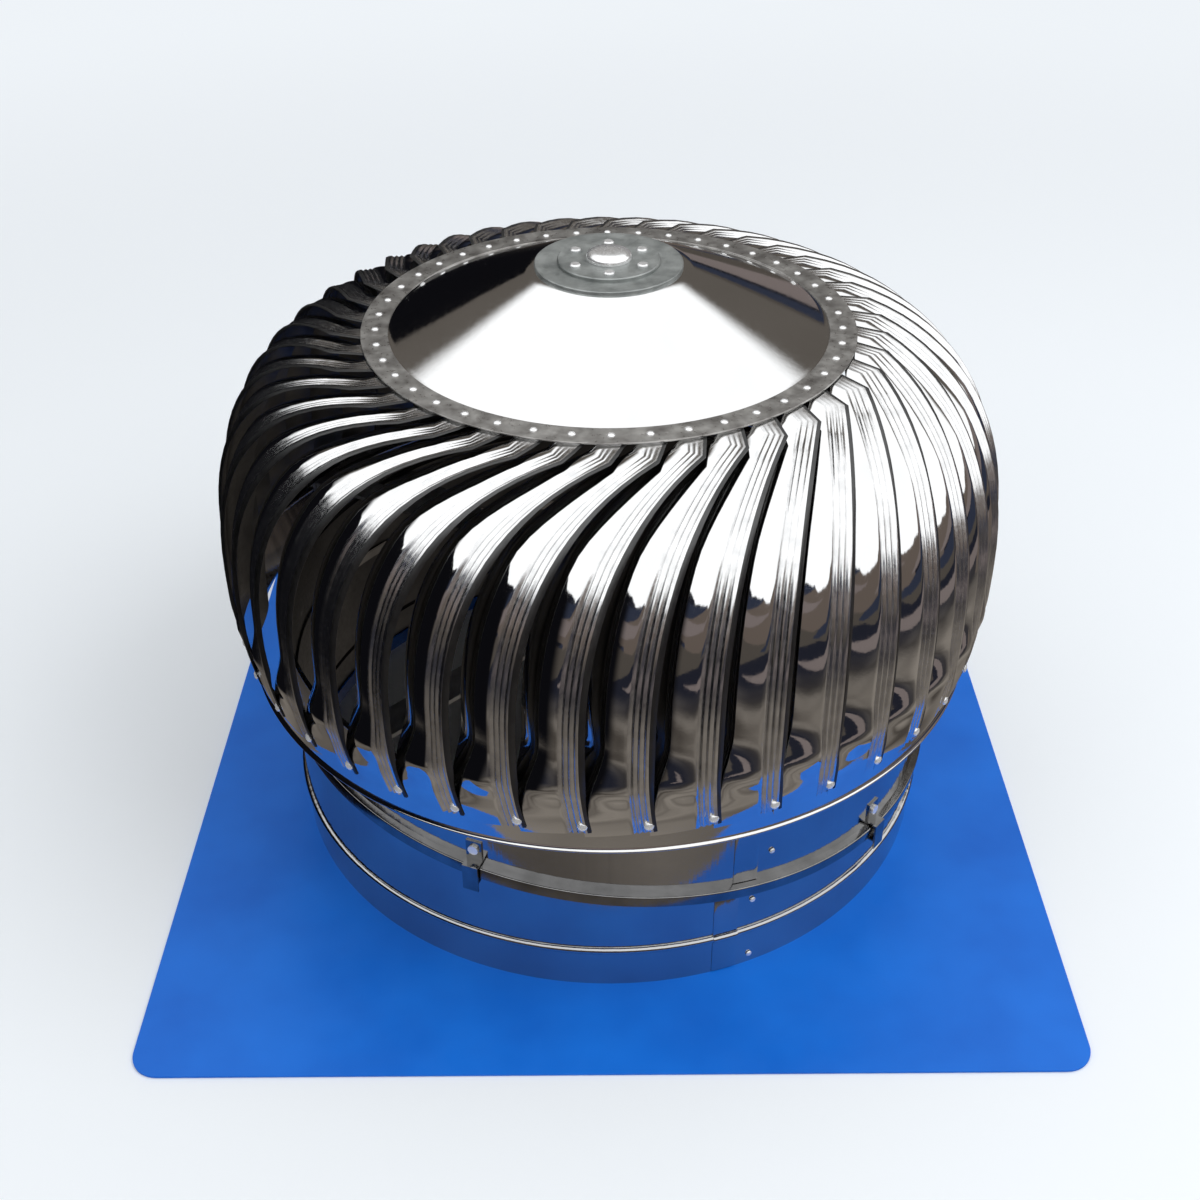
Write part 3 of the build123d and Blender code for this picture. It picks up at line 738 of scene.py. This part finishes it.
hub = {'bore': 25.8, 'radius': 62.0, 'low': 533.0, 'top': 536.0, 'edge': 0.6}
hubPlate = lathe(
    'hubPlate',
    [(hub['bore'], hub['low']), (hub['radius'], hub['low']), (hub['radius'], hub['top'] - hub['edge']),
     (hub['radius'] - hub['edge'], hub['top']), (hub['bore'], hub['top'])],
    steps=96)
smoothFaces(hubPlate)
place(hubPlate, 'rotor', finishes['hubCasting'], 'hub_metal', 'hub_plate')

housing = {
    'seat': 17.55, 'seatTop': 527.0, 'low': 516.0, 'wall': 21.5, 'wallEdge': 0.5, 'flangeLow': 536.0,
    'flange': 43.0, 'flangeEdge': 0.8, 'top': 539.0, 'rim': 22.0, 'step': 0.1, 'stepRadius': 20.0,
    'bore': 15.0}
inTop = housing['top'] - housing['step']
bearingFlange = lathe(
    'bearingFlange',
    [(housing['seat'], housing['low']), (housing['wall'] - housing['wallEdge'], housing['low']),
     (housing['wall'], housing['low'] + housing['wallEdge']), (housing['wall'], housing['flangeLow']),
     (housing['flange'], housing['flangeLow']), (housing['flange'], housing['top'] - housing['flangeEdge']),
     (housing['flange'] - housing['flangeEdge'], housing['top']), (housing['rim'], housing['top']),
     (housing['stepRadius'], inTop), (housing['bore'], inTop), (housing['bore'], housing['seatTop']),
     (housing['seat'], housing['seatTop'])],
    steps=96)
smoothFaces(bearingFlange)
place(bearingFlange, 'rotor', finishes['hubCasting'], 'hub_metal', 'upper_bearing_housing')

cap = {
    'sheet': 1.2,
    'outline': [(17.4, 539.0), (19.0, 539.0), (19.0, 540.6), (18.7, 542.2), (17.6, 543.8), (15.2, 545.0),
                (11.5, 545.7), (6.0, 545.95), (0.0, 546.0)]}
dustCap = lathe('dustCap', cap['outline'], closed=False, steps=64)
smoothFaces(dustCap, 40)
thicken(dustCap, cap['sheet'] * mm)
place(dustCap, 'rotor', finishes['capSheet'], 'hub_metal', 'dust_cap')
print("turned sheets made")

# pieces kept from the frame
keptFinishes = {
    'base_plate': 'bluePaint', 'joint_clips': 'jointSheet',
    'clip_rivets': 'rivetMetal', 'hub_rivets': 'rivetMetal',
    'shaft_bracket': 'zincSteel', 'bracket_bolts': 'zincSteel', 'bracket_nuts': 'zincSteel',
    'shaft': 'groundSteel', 'shaft_lower_nut': 'zincSteel', 'shaft_clamp_nut': 'zincSteel',
    'shaft_spacer': 'zincSteel', 'shaft_top_nut': 'zincSteel', 'lower_spider': 'zincSteel',
    'lower_bearing_inner_ring': 'groundSteel', 'lower_bearing_outer_ring': 'groundSteel',
    'upper_bearing_inner_ring': 'groundSteel', 'upper_bearing_outer_ring': 'groundSteel',
    'lower_bearing_cage': 'cagePolymer', 'upper_bearing_cage': 'cagePolymer'}
for name, finish in keptFinishes.items():
    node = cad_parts[name]
    node.data.materials.clear()
    node.data.materials.append(finishes[finish])
print("frame pieces finished", len(keptFinishes))

# floor, light and camera
studio = {
    'floorColour': (0.86, 0.90, 0.94), 'floorSize': 16, 'floorDrop': 0.0006, 'floorFades': (0.9, 3.0),
    'floorRoughness': 0.9, 'wallHeight': 5, 'wallBend': 2.0, 'background': (0.86, 0.90, 0.94),
    'roomLight': 0.78, 'lampAim': (0, 0, 0.3),
    'keyPower': 34.0, 'keyPlace': (1.6, -0.8, 2.6), 'keySize': (2.2, 1.6),
    'fillPower': 8.0, 'fillPlace': (-2.2, -1.6, 1.8), 'fillSize': (1.6, 1.6),
    'lens': 46.59, 'sensor': 36.0, 'shift': (-0.0074, -0.0425), 'clip': (0.05, 60.0),
    'cameraPlace': (-0.0098, -1.2037, 1.0484), 'cameraAim': (0.0, 0.0, 0.25)}


def smoothStep(nodes, links, value, low, high):
    reach = nodes.new('ShaderNodeMapRange')
    reach.interpolation_type = 'SMOOTHSTEP'
    reach.inputs['From Min'].default_value = low
    reach.inputs['From Max'].default_value = high
    links.new(value, reach.inputs['Value'])
    return reach.outputs['Result']


def seenRays(nodes, links):
    # 1 for what the camera sees, by itself or in metal and glass
    rays = nodes.new('ShaderNodeLightPath')
    either = nodes.new('ShaderNodeMath')
    either.operation = 'MAXIMUM'
    anyOf = nodes.new('ShaderNodeMath')
    anyOf.operation = 'MAXIMUM'
    links.new(rays.outputs['Is Camera Ray'], either.inputs[0])
    links.new(rays.outputs['Is Glossy Ray'], either.inputs[1])
    links.new(either.outputs['Value'], anyOf.inputs[0])
    links.new(rays.outputs['Is Transmission Ray'], anyOf.inputs[1])
    return anyOf.outputs['Value']


def makeFloor():
    dropSelection()
    bpy.ops.mesh.primitive_grid_add(
        x_subdivisions=4, y_subdivisions=4, size=studio['floorSize'], location=(0, 0, -studio['floorDrop']))
    floor = bpy.context.object
    floor.name = 'studioFloor'
    applyPlace(floor)
    pick(floor, 'EDGE', lambda co: co.y > studio['floorSize'] / 2 - 0.1)
    bpy.ops.mesh.extrude_region_move(TRANSFORM_OT_translate={'value': (0, 0, studio['wallHeight'])})
    bpy.ops.object.mode_set(mode='OBJECT')
    roundEdges(floor, studio['wallBend'], 10, 60)
    smoothFaces(floor, 60)
    # far from the object the floor passes into the background colour
    material, nodes, links, shader, where = newMaterial('studioFloor')
    shader.inputs['Base Color'].default_value = (*studio['floorColour'], 1)
    shader.inputs['Roughness'].default_value = studio['floorRoughness']
    distance = nodes.new('ShaderNodeVectorMath')
    distance.operation = 'LENGTH'
    links.new(where, distance.inputs[0])
    far = smoothStep(nodes, links, distance.outputs['Value'], *studio['floorFades'])
    share = nodes.new('ShaderNodeMath')
    share.operation = 'MULTIPLY'
    links.new(far, share.inputs[0])
    links.new(seenRays(nodes, links), share.inputs[1])
    backdrop = nodes.new('ShaderNodeEmission')
    backdrop.inputs['Color'].default_value = (*studio['background'], 1)
    mix = nodes.new('ShaderNodeMixShader')
    links.new(share.outputs['Value'], mix.inputs['Fac'])
    links.new(shader.outputs['BSDF'], mix.inputs[1])
    links.new(backdrop.outputs['Emission'], mix.inputs[2])
    links.new(mix.outputs['Shader'], nodes['Material Output'].inputs['Surface'])
    floor.data.materials.append(material)
    floor.visible_glossy = False


def lookAt(thing, aim):
    thing.rotation_euler = (Vector(aim) - thing.location).to_track_quat('-Z', 'Y').to_euler()


def makeWorld():
    world = bpy.data.worlds.new('studioAir')
    bpy.context.scene.world = world
    world.use_nodes = True
    nodes, links = world.node_tree.nodes, world.node_tree.links
    nodes.clear()
    output = nodes.new('ShaderNodeOutputWorld')
    seen = nodes.new('ShaderNodeBackground')
    seen.inputs['Color'].default_value = (*studio['background'], 1)
    seen.inputs['Strength'].default_value = 1.0
    air = nodes.new('ShaderNodeBackground')
    air.inputs['Color'].default_value = (1.0, 1.0, 1.0, 1)
    air.inputs['Strength'].default_value = studio['roomLight']
    mix = nodes.new('ShaderNodeMixShader')
    links.new(seenRays(nodes, links), mix.inputs['Fac'])
    links.new(air.outputs['Background'], mix.inputs[1])
    links.new(seen.outputs['Background'], mix.inputs[2])
    links.new(mix.outputs['Shader'], output.inputs['Surface'])


def softLamp(name, spot, size, power):
    dropSelection()
    bpy.ops.object.light_add(type='AREA', location=spot)
    lamp = bpy.context.object
    lamp.name = name
    lamp.data.shape = 'RECTANGLE'
    lamp.data.size, lamp.data.size_y = size
    lamp.data.energy = power
    lookAt(lamp, studio['lampAim'])
    lamp.visible_glossy = False


def towards(nodes, links, way, direction):
    # how far a way out of the studio points in a direction, 1 at most
    dot = nodes.new('ShaderNodeVectorMath')
    dot.operation = 'DOT_PRODUCT'
    dot.inputs[1].default_value = direction
    links.new(way, dot.inputs[0])
    return dot.outputs['Value']


def mixColour(nodes, links, share, first, second):
    mix = nodes.new('ShaderNodeMix')
    mix.data_type = 'RGBA'
    links.new(share, mix.inputs['Factor'])
    for socket, colour in ((mix.inputs['A'], first), (mix.inputs['B'], second)):
        if isinstance(colour, tuple):
            socket.default_value = (*colour, 1)
        else:
            links.new(colour, socket)
    return mix.outputs['Result']


# a shell that only polished faces show; its ways out of the studio are unit vectors
surround = {
    'radius': 6, 'strength': 1.35, 'sky': (0.98, 0.99, 1.0), 'dark': (0.003, 0.003, 0.004),
    'trees': (0.09, 0.08, 0.07), 'treesFrom': (0.42, 0.56), 'treesTop': (0.60, 0.70),
    'groundDark': (0.05, 0.043, 0.037), 'ground': (0.20, 0.178, 0.155), 'groundAt': (-0.55, -0.28),
    'groundStretch': (0.8, 0.8, 9),
    'hallTo': (-0.903, 0.421, 0.08), 'hallSpread': (0.80, 0.93), 'hallAcross': (0.94, -0.34, 0),
    'hallFrom': (-0.50, -0.20), 'hallFoot': (-0.64, -0.54),
    'roofs': 0.29, 'roofEdge': 0.02, 'roofsFall': 0.15, 'roofWave': 0.14, 'roofScale': 4.0,
    'roofStretch': (1, 1, 0.2), 'wallStretch': (0.45, 0.45, 8.0),
    'wallColours': (
        (0.010, 0.011, 0.016), (0.10, 0.08, 0.068), (0.022, 0.027, 0.045), (0.15, 0.125, 0.12),
        (0.06, 0.052, 0.045), (0.012, 0.013, 0.02))}


def wallPatches(nodes, links, way):
    # a row of dark and light blocks along the skyline
    mapping = nodes.new('ShaderNodeMapping')
    mapping.inputs['Scale'].default_value = surround['wallStretch']
    links.new(way, mapping.inputs['Vector'])
    cells = nodes.new('ShaderNodeTexVoronoi')
    cells.inputs['Scale'].default_value = 1.0
    links.new(mapping.outputs['Vector'], cells.inputs['Vector'])
    shade = nodes.new('ShaderNodeSeparateColor')
    links.new(cells.outputs['Color'], shade.inputs['Color'])
    ramp = nodes.new('ShaderNodeValToRGB')
    ramp.color_ramp.interpolation = 'CONSTANT'
    colours = surround['wallColours']
    while len(ramp.color_ramp.elements) < len(colours):
        ramp.color_ramp.elements.new(0.5)
    for number, colour in enumerate(colours):
        ramp.color_ramp.elements[number].position = number / len(colours)
        ramp.color_ramp.elements[number].color = (*colour, 1)
    links.new(shade.outputs['Red'], ramp.inputs['Fac'])
    return ramp.outputs['Color']


def surroundColour(nodes, links, way):
    # open sky with trees behind
    height = towards(nodes, links, way, (0, 0, 1))
    behind = smoothStep(nodes, links, towards(nodes, links, way, (0, 1, 0)), *surround['treesFrom'])
    overTrees = smoothStep(nodes, links, height, *surround['treesTop'])
    trees = mixColour(nodes, links, overTrees, surround['trees'], surround['sky'])
    sky = mixColour(nodes, links, behind, surround['sky'], trees)
    # below the skyline: walls, bare ground and a dark hall on the left
    streaks = noiseNode(nodes, links, way, 1.0, detail=1.5, stretch=surround['groundStretch'])
    ground = blendColours(nodes, links, streaks, surround['groundDark'], surround['ground'])
    level = smoothStep(nodes, links, height, *surround['groundAt'])
    low = mixColour(nodes, links, level, ground, wallPatches(nodes, links, way))
    across = towards(nodes, links, way, surround['hallAcross'])
    besideHall = mixColour(
        nodes, links, smoothStep(nodes, links, across, *surround['hallFrom']), surround['dark'], low)
    overFoot = smoothStep(nodes, links, height, *surround['hallFoot'])
    low = mixColour(nodes, links, overFoot, low, besideHall)
    # height above a skyline that falls away to the right
    skyline = nodes.new('ShaderNodeMath')
    skyline.operation = 'MULTIPLY_ADD'
    waves = noiseNode(nodes, links, way, surround['roofScale'], detail=2.0, stretch=surround['roofStretch'])
    links.new(waves, skyline.inputs[0])
    skyline.inputs[1].default_value = -surround['roofWave']
    links.new(towards(nodes, links, way, (surround['roofsFall'], 0, 1)), skyline.inputs[2])
    overRoofs = smoothStep(
        nodes, links, skyline.outputs['Value'], surround['roofs'], surround['roofs'] + surround['roofEdge'])
    colour = mixColour(nodes, links, overRoofs, low, sky)
    # the hall reaches over the skyline on the left
    hall = smoothStep(nodes, links, towards(nodes, links, way, surround['hallTo']), *surround['hallSpread'])
    hall = mixColour(nodes, links, hall, colour, surround['dark'])
    return mixColour(nodes, links, overFoot, colour, hall)


def makeSurround():
    dropSelection()
    bpy.ops.mesh.primitive_uv_sphere_add(
        segments=64, ring_count=32, radius=surround['radius'], location=(0, 0, 0))
    shell = bpy.context.object
    shell.name = 'studioSurround'
    flipFaces(shell)
    smoothFaces(shell, 60)
    material, nodes, links, shader, where = newMaterial('studioSurround')
    unit = nodes.new('ShaderNodeVectorMath')
    unit.operation = 'NORMALIZE'
    links.new(where, unit.inputs[0])
    colour = surroundColour(nodes, links, unit.outputs['Vector'])
    shader.inputs['Base Color'].default_value = (0, 0, 0, 1)
    shader.inputs['Roughness'].default_value = 1.0
    shader.inputs['Specular IOR Level'].default_value = 0.0
    shader.inputs['Emission Strength'].default_value = surround['strength']
    links.new(colour, shader.inputs['Emission Color'])
    shell.data.materials.append(material)
    shell.visible_camera = False
    shell.visible_diffuse = False
    shell.visible_shadow = False
    shell.visible_transmission = False


makeFloor()
makeWorld()
softLamp('keyLamp', studio['keyPlace'], studio['keySize'], studio['keyPower'])
softLamp('fillLamp', studio['fillPlace'], studio['fillSize'], studio['fillPower'])
makeSurround()

dropSelection()
bpy.ops.object.camera_add(location=studio['cameraPlace'])
camera = bpy.context.object
lookAt(camera, studio['cameraAim'])
camera.data.lens = studio['lens']
camera.data.sensor_width = studio['sensor']
camera.data.shift_x, camera.data.shift_y = studio['shift']
camera.data.clip_start, camera.data.clip_end = studio['clip']
bpy.context.scene.camera = camera
bpy.context.scene.view_settings.view_transform = 'Standard'
print("studio ready")
